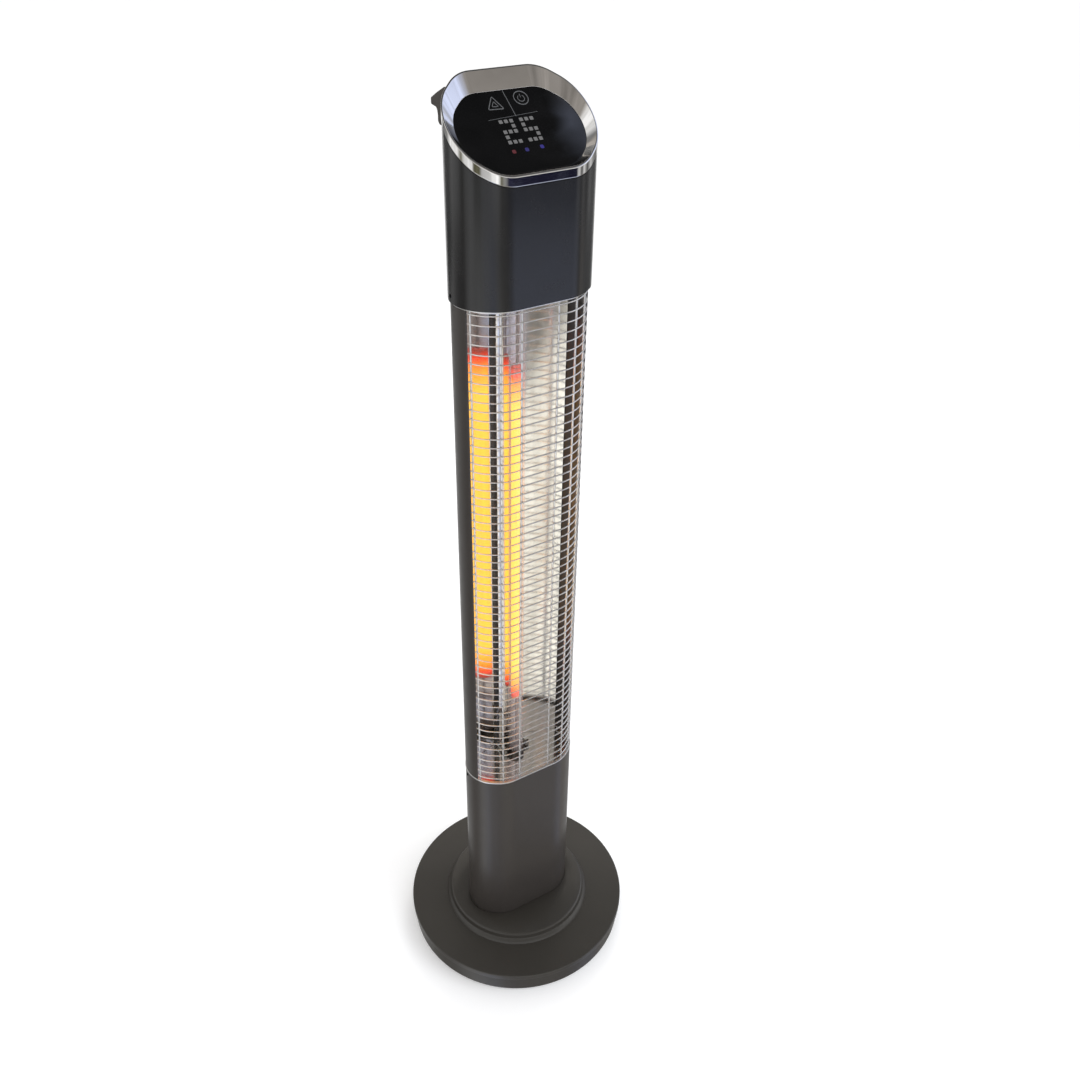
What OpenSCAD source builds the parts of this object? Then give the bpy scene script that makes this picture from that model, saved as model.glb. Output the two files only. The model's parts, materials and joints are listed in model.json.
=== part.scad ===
// Free-standing infrared heater: a tall rounded column on a weighted round base.
// Millimetres, +Z up, the front faces -Y, the origin is the centre of the base on the ground.

/* [Base] */
// Radius of the round base cover
base_r = 150; // [145:1:160]
// Height of the base cover's top face above the ground
base_h = 34; // [32:1:38]
// Radius of the raised collar's top edge
collar_r = 94; // [90:1:100]
// Height of the collar above the base cover
collar_h = 14; // [10:1:18]

/* [Column] */
// Height of the joint between the lower housing and the heating section
chamber_bottom = 308; // [290:1:320]
// Height of the joint between the heating section and the head
chamber_top = 942; // [930:1:950]
// How far the head stands out from the column all round
head_step = 2.3; // [1.5:0.1:3]
// Wall of the aluminium column and of the head
wall = 2; // [1.5:0.1:2.5]

/* [Head] */
// Height of the bezel's rim plane on the column's axis
rim_z = 1105; // [1095:1:1115]
// Slope of the rim plane, rising towards the back
slope = 39.4; // [35:0.2:42]
// Vertical height of the bezel's outer band
band_h = 10; // [8:0.5:12]
// Vertical depth of the display face below the rim plane
dish_drop = 9; // [7:0.5:10]
// Inset of the display from the head's outline
dish_inset = 10.2; // [9:0.1:12]

/* [Lamp] */
// Outer radius of the quartz tube
tube_r = 9.5; // [8:0.5:10]
// Radius of the heating coil
coil_r = 6; // [5:0.5:6.5]
// Height where the glowing coil starts
coil_z0 = 399; // [390:1:420]
// Height where the glowing coil ends
coil_z1 = 858; // [840:1:870]

/* [Guard] */
// Vertical pitch of the guard's horizontal wires
guard_pitch = 10.2; // [9.5:0.1:12]
// Thickness of a horizontal guard wire
wire_t = 1.8; // [1.6:0.1:2.2]
// Radius of an upright guard wire
upright_r = 1.1; // [0.9:0.1:1.3]

/* [Moving parts] */
// Tilt of the power rocker to each side of its middle position, in degrees
rocker_tilt = 9; // [6:1:10]
// Swing of the tip-over pendulum to each side, in degrees
pendulum_swing = 20; // [10:1:22]

/* [Hidden] */
$fn = 64;

// Clearance between shells that slide into each other
gap = 0.1;
// Clearance where the end of a fixed part meets the inside of a wall
seat = 0.05;
// Depth of each straight side inside its arcs' common tangent, so that it crosses them cleanly
side_sink = 0.01;
// Overshoot of a cutting shape past the face that it cuts
past = 1;

// Corner circles [x, y, radius] of the column's right half: front, side and back
column_arcs = [[29.3, -3.5, 41], [35.8, -3, 37.6], [29, -1.5, 40.3]];
column_back = column_arcs[2].y + column_arcs[2][2];
head_back = column_back + head_step;

// Ring of corner circles, anticlockwise from the front right
function mirrored(c) = [-c.x, c.y, c[2]];
arc_ring = concat(column_arcs, [for (i = [2:-1:0]) mirrored(column_arcs[i])]);

// Direction of the outward normal of the straight side that joins two corner circles
function side_normal(a, b) =
    atan2(b.y - a.y, b.x - a.x) - acos((a[2] - b[2]) / norm([b.x - a.x, b.y - a.y]));
function on_circle(c, grow, t) = [c.x + (c[2] + grow) * cos(t), c.y + (c[2] + grow) * sin(t)];

// Plan of the column, grown by the given amount, as true arcs joined by straight sides
module outline(grow = 0) {
    n = len(arc_ring);
    polygon([
        for (i = [0:n - 1])
            for (k = [i, (i + 1) % n])
                on_circle(arc_ring[k], grow - side_sink, side_normal(arc_ring[i], arc_ring[(i + 1) % n]))
    ]);
    for (c = arc_ring)
        translate([c.x, c.y]) circle(r = c[2] + grow);
}

module prism(z0, z1, grow = 0)
    translate([0, 0, z0]) linear_extrude(z1 - z0) outline(grow);

// Tube between two offsets of the plan
module sleeve(z0, z1, outer, inner)
    translate([0, 0, z0]) linear_extrude(z1 - z0) difference() {
        outline(outer);
        outline(inner);
    }

// Frame that lies in the rim plane, dropped straight down by the given height
module tilted(drop = 0)
    translate([0, 0, rim_z - drop]) rotate([slope, 0, 0]) children();

// Everything below the rim plane, dropped by the given height
module under_rim(drop = 0)
    tilted(drop) translate([-200, -300, -500]) cube([400, 600, 500]);

// Slanted slice of the head's plan between two drops below the rim plane
module slice(drop0, drop1, grow)
    difference() {
        intersection() {
            prism(rim_z - 140, rim_z + 80, grow);
            under_rim(drop0);
        }
        under_rim(drop1);
    }

// Square rod standing on one end, centred on its axis
module block(size, pos) translate(pos) translate(-size / 2) cube(size);

module four_ways(r, z) for (a = [0:90:270]) rotate(a) translate([r, 0, z]) children();
module both_sides() for (s = [0, 1]) mirror([s, 0, 0]) children();

// ---- Base ----
foot_at = 122;
foot_r = 10;
foot_h = 3;
tray_r = 147;
tray_top = 24;
tray_wall = 3.5;
tray_floor = 3;
cover_edge = 8;
cover_t = 4;
screw_at = 66;
boss_r = 7;
spigot_h = 4;
bolt_x = 38;
bolt_y = 20;

module base_feet() color("dimgray")
    four_ways(foot_at, 0) cylinder(r = foot_r, h = foot_h);

module base_tray() color([0.22, 0.22, 0.22]) difference() {
    rotate_extrude($fn = 128) polygon([
        [0, foot_h], [tray_r - tray_wall, foot_h], [tray_r - tray_wall, 1.5], [tray_r - 1, 1.5],
        [tray_r, 3], [tray_r, tray_top], [tray_r - tray_wall, tray_top],
        [tray_r - tray_wall, foot_h + tray_floor], [0, foot_h + tray_floor]
    ]);
    four_ways(screw_at, 0) rotate(45) cylinder(r = 2.6, h = 20);
}

ballast_z0 = foot_h + tray_floor;
ballast_z1 = base_h - cover_t;
module base_ballast() color([0.35, 0.35, 0.34]) difference() {
    translate([0, 0, ballast_z0]) cylinder(r = 136, h = ballast_z1 - ballast_z0, $fn = 128);
    four_ways(screw_at, 0) cylinder(r = boss_r + 1, h = 50);
    for (x = [-bolt_x, bolt_x])
        for (y = [-bolt_y, bolt_y])
            translate([x, y, 10]) cylinder(r = 3.05, h = 40);
}

module base_cover() color([0.25, 0.24, 0.23]) difference() {
    union() {
        rotate_extrude($fn = 128) polygon([
            [0, base_h - cover_t], [base_r - 4, base_h - cover_t], [base_r - 4, base_h - cover_edge],
            [base_r - 1, base_h - cover_edge], [base_r, base_h - cover_edge + 1],
            [base_r, base_h - 1.2], [base_r - 1.2, base_h], [0, base_h]
        ]);
        translate([0, 0, tray_top - spigot_h]) difference() {
            cylinder(r = tray_r - tray_wall - gap, h = base_h - cover_t - tray_top + spigot_h + 0.5, $fn = 128);
            translate([0, 0, -past]) cylinder(r = 138, h = 20, $fn = 128);
        }
        four_ways(screw_at, ballast_z0) cylinder(r = boss_r, h = base_h - cover_t - ballast_z0 + 1);
    }
    four_ways(screw_at, ballast_z0 - past) cylinder(r = 2.05, h = 16 + past);
    for (x = [-bolt_x, bolt_x])
        for (y = [-bolt_y, bolt_y])
            translate([x, y, 20]) cylinder(r = 3.2, h = 40);
}

module base_screws() color("silver")
    four_ways(screw_at, 0) {
        translate([0, 0, 0.8]) cylinder(r = 4.5, h = 2.2);
        translate([0, 0, 2.9]) cylinder(r = 2, h = 15);
    }

collar_z1 = base_h + collar_h;
module base_collar() color([0.22, 0.22, 0.21]) difference() {
    rotate_extrude($fn = 128) polygon([
        [0, base_h], [collar_r + 6, base_h], [collar_r + 4.6, base_h + 2.5],
        [collar_r + 1.8, base_h + 6], [collar_r + 0.4, collar_z1 - 2],
        [collar_r - 1, collar_z1], [0, collar_z1]
    ]);
    translate([0, 0, base_h - past]) rotate_extrude($fn = 128) polygon([
        [0, 0], [collar_r + 1, 0], [collar_r - 3, 6], [collar_r - 4, collar_h - 2], [0, collar_h - 2]
    ]);
    prism(base_h - past, collar_z1 + past, gap);
}

// ---- Column foot ----
flange_t = 4;
upstand_h = 30;
module column_flange() color("silver") difference() {
    union() {
        prism(base_h, base_h + flange_t, -wall - gap);
        sleeve(base_h, base_h + upstand_h, -wall - gap, -wall - gap - 2.5);
    }
    for (x = [-bolt_x, bolt_x])
        for (y = [-bolt_y, bolt_y])
            translate([x, y, base_h - past]) cylinder(r = 3.2, h = flange_t + 2 * past);
}

module flange_bolts() color("gray")
    for (x = [-bolt_x, bolt_x])
        for (y = [-bolt_y, bolt_y])
            translate([x, y, 0]) {
                translate([0, 0, base_h + flange_t]) cylinder(r = 5.6, h = 4.5, $fn = 6);
                translate([0, 0, 12]) cylinder(r = 3, h = base_h + flange_t - 11);
            }

// ---- Lower housing and its rear fittings ----
trim_h = 2;
housing_top = chamber_bottom - trim_h;
gland_z = 82;
switch_z = 140;
switch_w = 15;
switch_l = 21;
side_screw_y = 2;
side_screw_in = 6.5;
side_head_r = 2;
side_shank_r = 1.5;

// Position on the column's side face at the given depth
side_arc = column_arcs[1];
function side_x(y, grow = 0) = side_arc.x + sqrt(pow(side_arc[2] + grow, 2) - pow(y - side_arc.y, 2));
module side_screw(z, grow, extra = 0)
    both_sides() translate([side_x(side_screw_y, grow), side_screw_y, z])
        rotate([0, 90, asin((side_screw_y - side_arc.y) / (side_arc[2] + grow))]) {
            translate([0, 0, -6 - 10 * extra]) cylinder(r = side_shank_r + extra, h = 6 + 10 * extra);
            translate([0, 0, -0.6]) cylinder(r = side_head_r + extra, h = 0.9 + extra);
        }

module lower_housing() color([0.27, 0.26, 0.26]) difference() {
    sleeve(base_h, housing_top, 0, -wall);
    translate([0, column_back - 12, gland_z]) rotate([-90, 0, 0]) cylinder(r = 8.05, h = 30);
    block([switch_w + 0.4, 20, switch_l + 0.4], [0, column_back, switch_z]);
    side_screw(housing_top - side_screw_in, 0, gap);
}

module lower_trim() color("white") sleeve(housing_top, chamber_bottom, 0.4, -wall);

module housing_screws() color([0.1, 0.1, 0.1]) side_screw(housing_top - side_screw_in, 0);

module cable_gland() color([0.08, 0.08, 0.08]) translate([0, column_back, gland_z]) rotate([-90, 0, 0])
    difference() {
        union() {
            translate([0, 0, -12]) cylinder(r = 8, h = 13);
            cylinder(r = 12, h = 4, $fn = 6);
            translate([0, 0, 4]) cylinder(r1 = 9, r2 = 6.5, h = 9);
        }
        translate([0, 0, -13]) cylinder(r = 3.6, h = 30);
    }

module gland_nut() color([0.1, 0.1, 0.1])
    translate([0, column_back - wall - seat, gland_z]) rotate([90, 0, 0]) difference() {
        cylinder(r = 12, h = 5, $fn = 6);
        translate([0, 0, -past]) cylinder(r = 8.05, h = 8);
    }

// Rocker switch: the frame is snapped into the rear wall, the rocker turns on a pin along X
switch_y = column_back + 0.6;
rocker_pin_y = switch_y - 5;
rocker_pin_r = 1.5;
module switch_frame() color([0.06, 0.06, 0.06]) difference() {
    union() {
        block([switch_w + 5, 2.2, switch_l + 5], [0, switch_y + 0.5, switch_z]);
        block([switch_w, 12, switch_l], [0, switch_y - 6, switch_z]);
    }
    block([switch_w - 2.4, 40, switch_l - 2.4], [0, switch_y, switch_z]);
    translate([-switch_w, rocker_pin_y, switch_z]) rotate([0, 90, 0]) cylinder(r = 1.5, h = 40);
}

module switch_pin() color("silver")
    translate([-switch_w / 2, rocker_pin_y, switch_z]) rotate([0, 90, 0]) cylinder(r = rocker_pin_r, h = switch_w);

module switch_body() color([0.12, 0.12, 0.12]) {
    block([switch_w - 1, 9, switch_l - 1], [0, switch_y - 16.5, switch_z]);
    for (z = [-6, 0, 6])
        block([4.8, 8, 0.8], [0, switch_y - 25, switch_z + z]);
}

// The rocker's outer face is two flats that meet in a shallow V
rocker_w = switch_w - 3;
rocker_l = switch_l - 6;
module power_rocker() color([0.55, 0.05, 0.04])
    translate([0, rocker_pin_y, switch_z]) rotate([rocker_tilt, 0, 0]) difference() {
        translate([-rocker_w / 2, 0, 0]) rotate([90, 0, 90]) linear_extrude(rocker_w) polygon([
            [-3, -4], [6.2, -rocker_l / 2], [8.2, 1 - rocker_l / 2], [6.8, 0],
            [8.2, rocker_l / 2 - 1], [6.2, rocker_l / 2], [-3, 4]
        ]);
        translate([-switch_w, 0, 0]) rotate([0, 90, 0]) cylinder(r = rocker_pin_r + 0.05, h = 40);
    }

// ---- Tip-over switch inside the lower housing ----
tip_z = 70;
tip_y = -4;
tip_pin_r = 1.5;
module tip_switch_body() color([0.85, 0.85, 0.8]) difference() {
    union() {
        block([44, 26, 3], [0, tip_y, base_h + flange_t + 1.5]);
        for (x = [-15, 15])
            block([4, 20, 42], [x, tip_y, base_h + flange_t + 3 + 21]);
        block([34, 20, 8], [0, tip_y, base_h + flange_t + 3 + 46]);
    }
    translate([-20, tip_y, tip_z]) rotate([0, 90, 0]) cylinder(r = tip_pin_r, h = 40);
}

module tip_switch_pin() color("silver")
    translate([-17, tip_y, tip_z]) rotate([0, 90, 0]) cylinder(r = tip_pin_r, h = 34);

module tip_pendulum() color("silver") difference() {
    union() {
        translate([-5, tip_y, tip_z]) rotate([0, 90, 0]) cylinder(r = 4, h = 10);
        block([6, 3, 16], [0, tip_y, tip_z - 8]);
        translate([-9, tip_y, tip_z - 18]) rotate([0, 90, 0]) cylinder(r = 7, h = 18);
    }
    translate([-12, tip_y, tip_z]) rotate([0, 90, 0]) cylinder(r = tip_pin_r + 0.05, h = 24);
}

// ---- Heating section ----
shell_edge_y = -18;
shell_top = chamber_top - trim_h;
shell_t = 1.6;

module behind(y) translate([-100, y]) square([200, 120]);

module rear_shell() color([0.24, 0.23, 0.23])
    translate([0, 0, chamber_bottom]) linear_extrude(shell_top - chamber_bottom) difference() {
        intersection() {
            outline(0);
            behind(shell_edge_y);
        }
        outline(-shell_t);
    }

module upper_trim() color("white") sleeve(shell_top, chamber_top, 0.4, -wall);

floor_z = 256;
floor_t = 2;
lamp_y = 4;
lamp_base_z = floor_z + floor_t;
end_h = 28;
end_r = 11;
tube_z0 = lamp_base_z + end_h - 8;
end_top_z = chamber_top;
tube_z1 = end_top_z + 8;

module chamber_floor() color("silver") difference() {
    prism(floor_z, floor_z + floor_t, -wall - gap);
    translate([-30, 33.5, floor_z - past]) cube([60, 20, 10]);
}

// Half plan of the reflector: a rounded ridge behind the lamp and a shallow wing that ends at the shell
ridge_y = 18;
valley_x = 19;
wing_x = 66.4;
wing_bow = 180;
wing_vertex_x = -15.5;
wing_vertex_y = 31.4;
sheet_t = 0.8;
function wing_y(x) = wing_vertex_y - pow(x - wing_vertex_x, 2) / (2 * wing_bow);
valley_y = wing_y(valley_x);
function ridge_line(x) = ridge_y + (valley_y - ridge_y) * pow(x / valley_x, 3);
ridge_steps = 8;
wing_steps = 19;
half_profile = concat(
    [for (i = [0:ridge_steps - 1]) let (x = valley_x * i / ridge_steps) [x, ridge_line(x)]],
    [for (i = [0:wing_steps]) let (x = valley_x + (wing_x - valley_x) * i / wing_steps) [x, wing_y(x)]]
);
full_profile = concat([for (i = [len(half_profile) - 1:-1:1]) [-half_profile[i].x, half_profile[i].y]],
                      half_profile);
profile_last = len(full_profile) - 1;
function unit(v) = v / norm(v);
function sheet_normal(p, i) =
    let (d = unit(p[min(i + 1, profile_last)] - p[max(i - 1, 0)])) [-d.y, d.x];
module sheet_section() {
    front = full_profile;
    back = [for (i = [0:profile_last]) front[i] + sheet_t * sheet_normal(front, i)];
    polygon(concat(front, [for (i = [profile_last:-1:0]) back[i]]));
}

reflector_z0 = lamp_base_z;
reflector_z1 = shell_top - 3;
module reflector() color([0.9, 0.9, 0.88])
    translate([0, 0, reflector_z0]) linear_extrude(reflector_z1 - reflector_z0) sheet_section();

// Flat lid over the top of the reflector, with a hole for the lamp
module reflector_top() color([0.8, 0.8, 0.78]) difference() {
    prism(reflector_z1, reflector_z1 + 1, upright_in - upright_r - 1.6);
    translate([0, lamp_y, reflector_z1 - past]) cylinder(r = tube_r + 1, h = 4);
    translate([-30, 33.5, reflector_z1 - past]) cube([60, 20, 10]);
}

// Flat floor between the foot of the reflector and the housing in front of it
plate_z = 302;
plate_gap = 0.3;
module reflector_bottom() color([0.8, 0.8, 0.78]) difference() {
    prism(plate_z, plate_z + sheet_t, -wall - gap);
    translate([0, lamp_y, plate_z - past]) cylinder(r = tube_r + 1, h = sheet_t + 2 * past);
    translate([0, -plate_gap, plate_z - past]) linear_extrude(sheet_t + 2 * past)
        polygon(concat(full_profile, [[100, wing_y(wing_x)], [100, 60], [-100, 60], [-100, wing_y(wing_x)]]));
}

shield_y = 34;
spacer_x = 24;
spacer_zs = [380, 600, 820];
spacer_r = 3;
spacer_y0 = wing_y(spacer_x - spacer_r) + sheet_t + 0.1;
module heat_shield() color([0.75, 0.75, 0.74]) difference() {
    block([84, 0.8, reflector_z1 - lamp_base_z], [0, shield_y - 0.4, (reflector_z1 + lamp_base_z) / 2]);
    for (z = spacer_zs)
        for (s = [-1, 1])
            translate([s * spacer_x, shield_y - 5, z]) rotate([-90, 0, 0]) cylinder(r = 1.6, h = 10);
}

module shield_spacers() color("silver")
    for (z = spacer_zs)
        for (s = [-1, 1])
            translate([s * spacer_x, spacer_y0, z]) rotate([-90, 0, 0]) {
                cylinder(r = spacer_r, h = shield_y - 0.8 - spacer_y0);
                cylinder(r = 1.5, h = shield_y + 1.6 - spacer_y0);
            }

module lamp_end_lower() color("ivory") difference() {
    translate([0, lamp_y, lamp_base_z]) cylinder(r = end_r, h = end_h);
    translate([0, lamp_y, tube_z0]) cylinder(r = tube_r + 0.05, h = 20);
    translate([0, lamp_y, lamp_base_z - past]) cylinder(r = 1.6, h = 40);
}

module lamp_end_upper() color("ivory") difference() {
    translate([0, lamp_y, end_top_z]) cylinder(r = end_r, h = end_h);
    translate([0, lamp_y, end_top_z - past]) cylinder(r = tube_r + 0.05, h = 8 + past);
    translate([0, lamp_y, end_top_z - past]) cylinder(r = 1.6, h = 40);
}

module quartz_tube() color([0.95, 0.85, 0.8, 0.4]) difference() {
    translate([0, lamp_y, tube_z0]) cylinder(r = tube_r, h = tube_z1 - tube_z0);
    translate([0, lamp_y, tube_z0 - past]) cylinder(r = tube_r - 1.2, h = tube_z1 - tube_z0 + 2 * past);
}

module heating_coil() color([1, 0.55, 0.15]) {
    translate([0, lamp_y, coil_z0]) cylinder(r = coil_r, h = coil_z1 - coil_z0);
    translate([0, lamp_y, lamp_base_z + 4]) cylinder(r = 1.5, h = end_top_z + 20 - lamp_base_z);
}

// Spring clip round the tube near its lower end, with two feet that are screwed to the reflector
clip_h = 9;
clip_z = 303;
clip_foot_x = tube_r + 7.5;
clip_screw_r = 1.55;
module lamp_clip() color([0.35, 0.33, 0.32]) difference() {
    union() {
        translate([0, lamp_y, clip_z]) cylinder(r = tube_r + 1.1, h = clip_h);
        for (s = [-1, 1])
            block([11, 1.2, clip_h], [s * (tube_r + 5.6), lamp_y + 2, clip_z + clip_h / 2]);
    }
    translate([0, lamp_y, clip_z - past]) cylinder(r = tube_r + 0.05, h = clip_h + 2 * past);
    for (s = [-1, 1])
        translate([s * clip_foot_x, -20, clip_z + clip_h / 2]) rotate([-90, 0, 0])
            cylinder(r = clip_screw_r + 0.05, h = 40);
}

module clip_screws() color("silver")
    for (s = [-1, 1])
        translate([s * clip_foot_x, lamp_y + 1.4, clip_z + clip_h / 2]) rotate([-90, 0, 0]) {
            translate([0, 0, -2.2]) cylinder(r = 3, h = 2.2);
            cylinder(r = clip_screw_r, h = ridge_line(clip_foot_x - clip_screw_r) - lamp_y - 1.4 - seat);
        }

// ---- Guard ----
wire_out = -0.6;
wire_in = wire_out - wire_t;
guard_z0 = chamber_bottom + 5.4;
guard_n = floor((shell_top - guard_z0 - 3) / guard_pitch);
guard_end_y = shell_edge_y - 0.4;
module guard_wires() color("white")
    for (k = [0:guard_n])
        translate([0, 0, guard_z0 + k * guard_pitch]) linear_extrude(wire_t) difference() {
            outline(wire_out);
            outline(wire_in);
            behind(guard_end_y);
        }

// Plan positions of the uprights: two on the front arcs, one near each end of the wires
front_arc = column_arcs[0];
upright_in = wire_in - upright_r;
upright_spots = [
    [21, front_arc.y - front_arc[2] - upright_in],
    on_circle(front_arc, upright_in, -68),
    on_circle(side_arc, upright_in, -28)
];
module guard_uprights() color("white")
    both_sides() for (p = upright_spots)
        translate([p.x, p.y, chamber_bottom]) cylinder(r = upright_r, h = shell_top - chamber_bottom, $fn = 24);

// ---- Wiring behind the shield and inside the lower housing ----
lead_r = 1.2;
lead_y = 35.5;
terminal_z = 190;
module wiring_leads() color([0.15, 0.15, 0.16])
    for (x = [-8, 0, 8])
        translate([x, lead_y, terminal_z + 8]) cylinder(r = lead_r, h = chamber_top + 4 - terminal_z, $fn = 16);

module thermal_cutout() color([0.2, 0.2, 0.22]) {
    translate([22, shield_y + 1.2, 880]) rotate([90, 0, 0]) cylinder(r = 7, h = 1.2);
    translate([22, shield_y + 1.6, 880]) block([4, 0.8, 22], [0, 0, 0]);
}

module terminal_block() color([0.9, 0.9, 0.86]) difference() {
    union() {
        block([56, 10, 16], [0, 31, terminal_z]);
        for (x = [-16, 0, 16])
            block([12, 12, 12], [x, 20.5, terminal_z]);
    }
    for (x = [-16, 0, 16])
        translate([x, 8, terminal_z]) rotate([-90, 0, 0]) cylinder(r = 2.2, h = 12);
}

// ---- Head ----
band_z = rim_z - band_h;
module head_floor() color([0.8, 0.8, 0.8]) difference() {
    prism(chamber_top, chamber_top + 2, head_step - wall - gap);
    translate([0, lamp_y, chamber_top - past]) cylinder(r = end_r + 0.4, h = 5);
    translate([-16, 33, chamber_top - past]) cube([32, 20, 5]);
}

vent_w = 64;
vent_h = 40;
vent_z = 985;
vent_t = 2.4;
louvre_w = 44;
vent_screw_x = 28;
module vent_screw_holes()
    for (s = [-1, 1])
        translate([s * vent_screw_x, head_back - 10, vent_z]) rotate([-90, 0, 0]) cylinder(r = 1.55, h = 20);

module head_housing() color([0.2, 0.2, 0.22]) difference() {
    intersection() {
        sleeve(chamber_top, rim_z + 60, head_step, head_step - wall);
        under_rim(band_h);
    }
    block([louvre_w + 2, 30, vent_h - 6], [0, head_back, vent_z]);
    vent_screw_holes();
    side_screw(chamber_top + side_screw_in, head_step, gap);
    handle_screw_holes();
}

module head_screws() color([0.1, 0.1, 0.1]) side_screw(chamber_top + side_screw_in, head_step);

// Louvred plate over the opening in the head's back
module rear_vent() color([0.12, 0.12, 0.12]) difference() {
    block([vent_w, vent_t, vent_h], [0, head_back + vent_t / 2, vent_z]);
    for (k = [-3:3])
        block([louvre_w, 20, 2.4], [0, head_back, vent_z + 4.6 * k]);
    vent_screw_holes();
}

module vent_screws() color("silver")
    for (s = [-1, 1])
        translate([s * vent_screw_x, head_back - wall - 1, vent_z]) rotate([-90, 0, 0]) {
            cylinder(r = 1.5, h = wall + 1 + vent_t);
            translate([0, 0, wall + 1 + vent_t]) cylinder(r = 2.6, h = 1.6);
        }

rim_lip = 1.2;
module bezel() color("white") difference() {
    slice(0, band_h, head_step + 0.3);
    hull() {
        slice(-0.5, -0.4, head_step - rim_lip);
        slice(dish_drop, dish_drop + 0.1, head_step - dish_inset);
    }
    prism(rim_z - 140, rim_z + 80, head_step - dish_inset);
}

panel_t = 3;
module display_panel() color([0.03, 0.03, 0.03])
    slice(dish_drop, dish_drop + panel_t, head_step - dish_inset - gap);

carrier_drop = dish_drop + panel_t;
module display_carrier() color([0.1, 0.1, 0.1]) difference() {
    slice(carrier_drop, carrier_drop + 3, head_step - wall - gap);
    tilted(carrier_drop) translate([0, -8, 0]) cube([84, 62, 60], center = true);
}

// Places on the display in the tilted frame, measured across and up the face
digits_y = -7;
leds_y = -29.5;
module_h = 8;
module digit_module() color([0.15, 0.15, 0.16])
    tilted(carrier_drop) block([46, 30, module_h], [0, digits_y, -gap - module_h / 2]);

module indicator_leds() color([0.6, 0.1, 0.2])
    tilted(carrier_drop) for (x = [-16, -1, 14])
        translate([x, leds_y, -gap - module_h]) cylinder(r = 2, h = module_h);

board_t = 1.6;
module display_board() color([0.05, 0.3, 0.15])
    tilted(carrier_drop) block([92, 70, board_t], [0, -6, -gap - module_h - board_t / 2]);

board_y = 26;
board_front = board_y - board_t / 2;
module control_board() color([0.05, 0.3, 0.15])
    block([104, board_t, 76], [0, board_y, 992]);

module board_posts() color("silver")
    for (x = [-27, 27])
        for (z = [962, 1022])
            translate([x, board_y + board_t / 2, z]) rotate([-90, 0, 0])
                cylinder(r = 2.4, h = head_back - wall - seat - board_y - board_t / 2);

module relays() color([0.1, 0.15, 0.45])
    for (x = [-30, -6])
        block([18, 15, 20], [x, board_front - 7.5, 984]);

module heat_sink() color("silver") {
    block([34, 2.5, 44], [28, board_front - 1.25, 1000]);
    for (k = [0:5])
        block([1.6, 16.5, 44], [28 - 15 + 6 * k, board_front - 10.25, 1000]);
}

module capacitor() color([0.8, 0.5, 0.1]) block([26, 10, 16], [-26, board_front - 5, 1008]);

// ---- Carrying handle on the back of the head ----
handle_w = 100;
handle_cheek = 12;
grip_in = 60;
grip_y = 64;
nose_y = 80;
handle_top = 1125;
nose_z = 1108;
handle_bottom = 1090;
handle_side = [
    [10, handle_top], [50, handle_top], [nose_y - 14, nose_z + 9], [nose_y - 5, nose_z + 4],
    [nose_y - 1.5, nose_z + 1.8], [nose_y, nose_z], [nose_y - 1.2, nose_z - 1.8], [nose_y - 4, nose_z - 2.8],
    [grip_y + 3, nose_z - 3.6], [grip_y + 1, nose_z - 6], [grip_y, nose_z - 10], [grip_y, handle_bottom + 3],
    [grip_y - 1.5, handle_bottom + 1], [grip_y - 3.5, handle_bottom], [10, handle_bottom]
];
module handle_plan() {
    half = handle_w / 2;
    polygon([
        [-half, 10], [half, 10], [half, nose_y - 3], [half - 1, nose_y - 0.8], [half - 3, nose_y + 1],
        [3 - half, nose_y + 1], [1 - half, nose_y - 0.8], [-half, nose_y - 3]
    ]);
}
handle_screw_x = 44;
handle_screw_z = 1100;
module handle_screw_holes()
    for (s = [-1, 1])
        translate([s * handle_screw_x, 30, handle_screw_z]) rotate([-90, 0, 0]) cylinder(r = 2.05, h = 24);

module carry_handle() color([0.3, 0.28, 0.26]) difference() {
    intersection() {
        translate([-handle_w / 2, 0, 0]) rotate([90, 0, 90]) linear_extrude(handle_w) polygon(handle_side);
        translate([0, 0, handle_bottom - 10]) linear_extrude(80) handle_plan();
    }
    prism(handle_bottom - 20, handle_top + 20, head_step + 0.05);
    translate([handle_cheek - handle_w / 2, head_back - 10, handle_bottom - 20])
        cube([handle_w - 2 * handle_cheek, grip_in - head_back + 10, nose_z + 27 - handle_bottom]);
    handle_screw_holes();
}

module handle_screws() color("silver")
    for (s = [-1, 1])
        translate([s * handle_screw_x, 31.8, handle_screw_z]) rotate([-90, 0, 0]) {
            cylinder(r = 3.8, h = 2.4);
            cylinder(r = 2, h = 20);
        }

base_feet();
base_tray();
base_ballast();
base_cover();
base_collar();
base_screws();
column_flange();
flange_bolts();
lower_housing();
lower_trim();
housing_screws();
rear_shell();
upper_trim();
chamber_floor();
heat_shield();
shield_spacers();
reflector();
reflector_top();
reflector_bottom();
lamp_end_lower();
lamp_end_upper();
quartz_tube();
heating_coil();
lamp_clip();
clip_screws();
guard_wires();
guard_uprights();
thermal_cutout();
wiring_leads();
terminal_block();
cable_gland();
gland_nut();
tip_switch_body();
tip_switch_pin();
tip_pendulum();
switch_frame();
switch_body();
switch_pin();
power_rocker();
head_floor();
head_housing();
bezel();
display_panel();
display_carrier();
digit_module();
indicator_leds();
display_board();
control_board();
board_posts();
relays();
heat_sink();
capacitor();
carry_handle();
handle_screws();
rear_vent();
vent_screws();
head_screws();
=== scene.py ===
"""Looks of a free-standing infrared tower heater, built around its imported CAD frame.

Lengths are in mm until a mesh is made from them.
"""

import json
import math

import bmesh
import bpy
import numpy as np
from mathutils import Matrix, Vector


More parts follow.
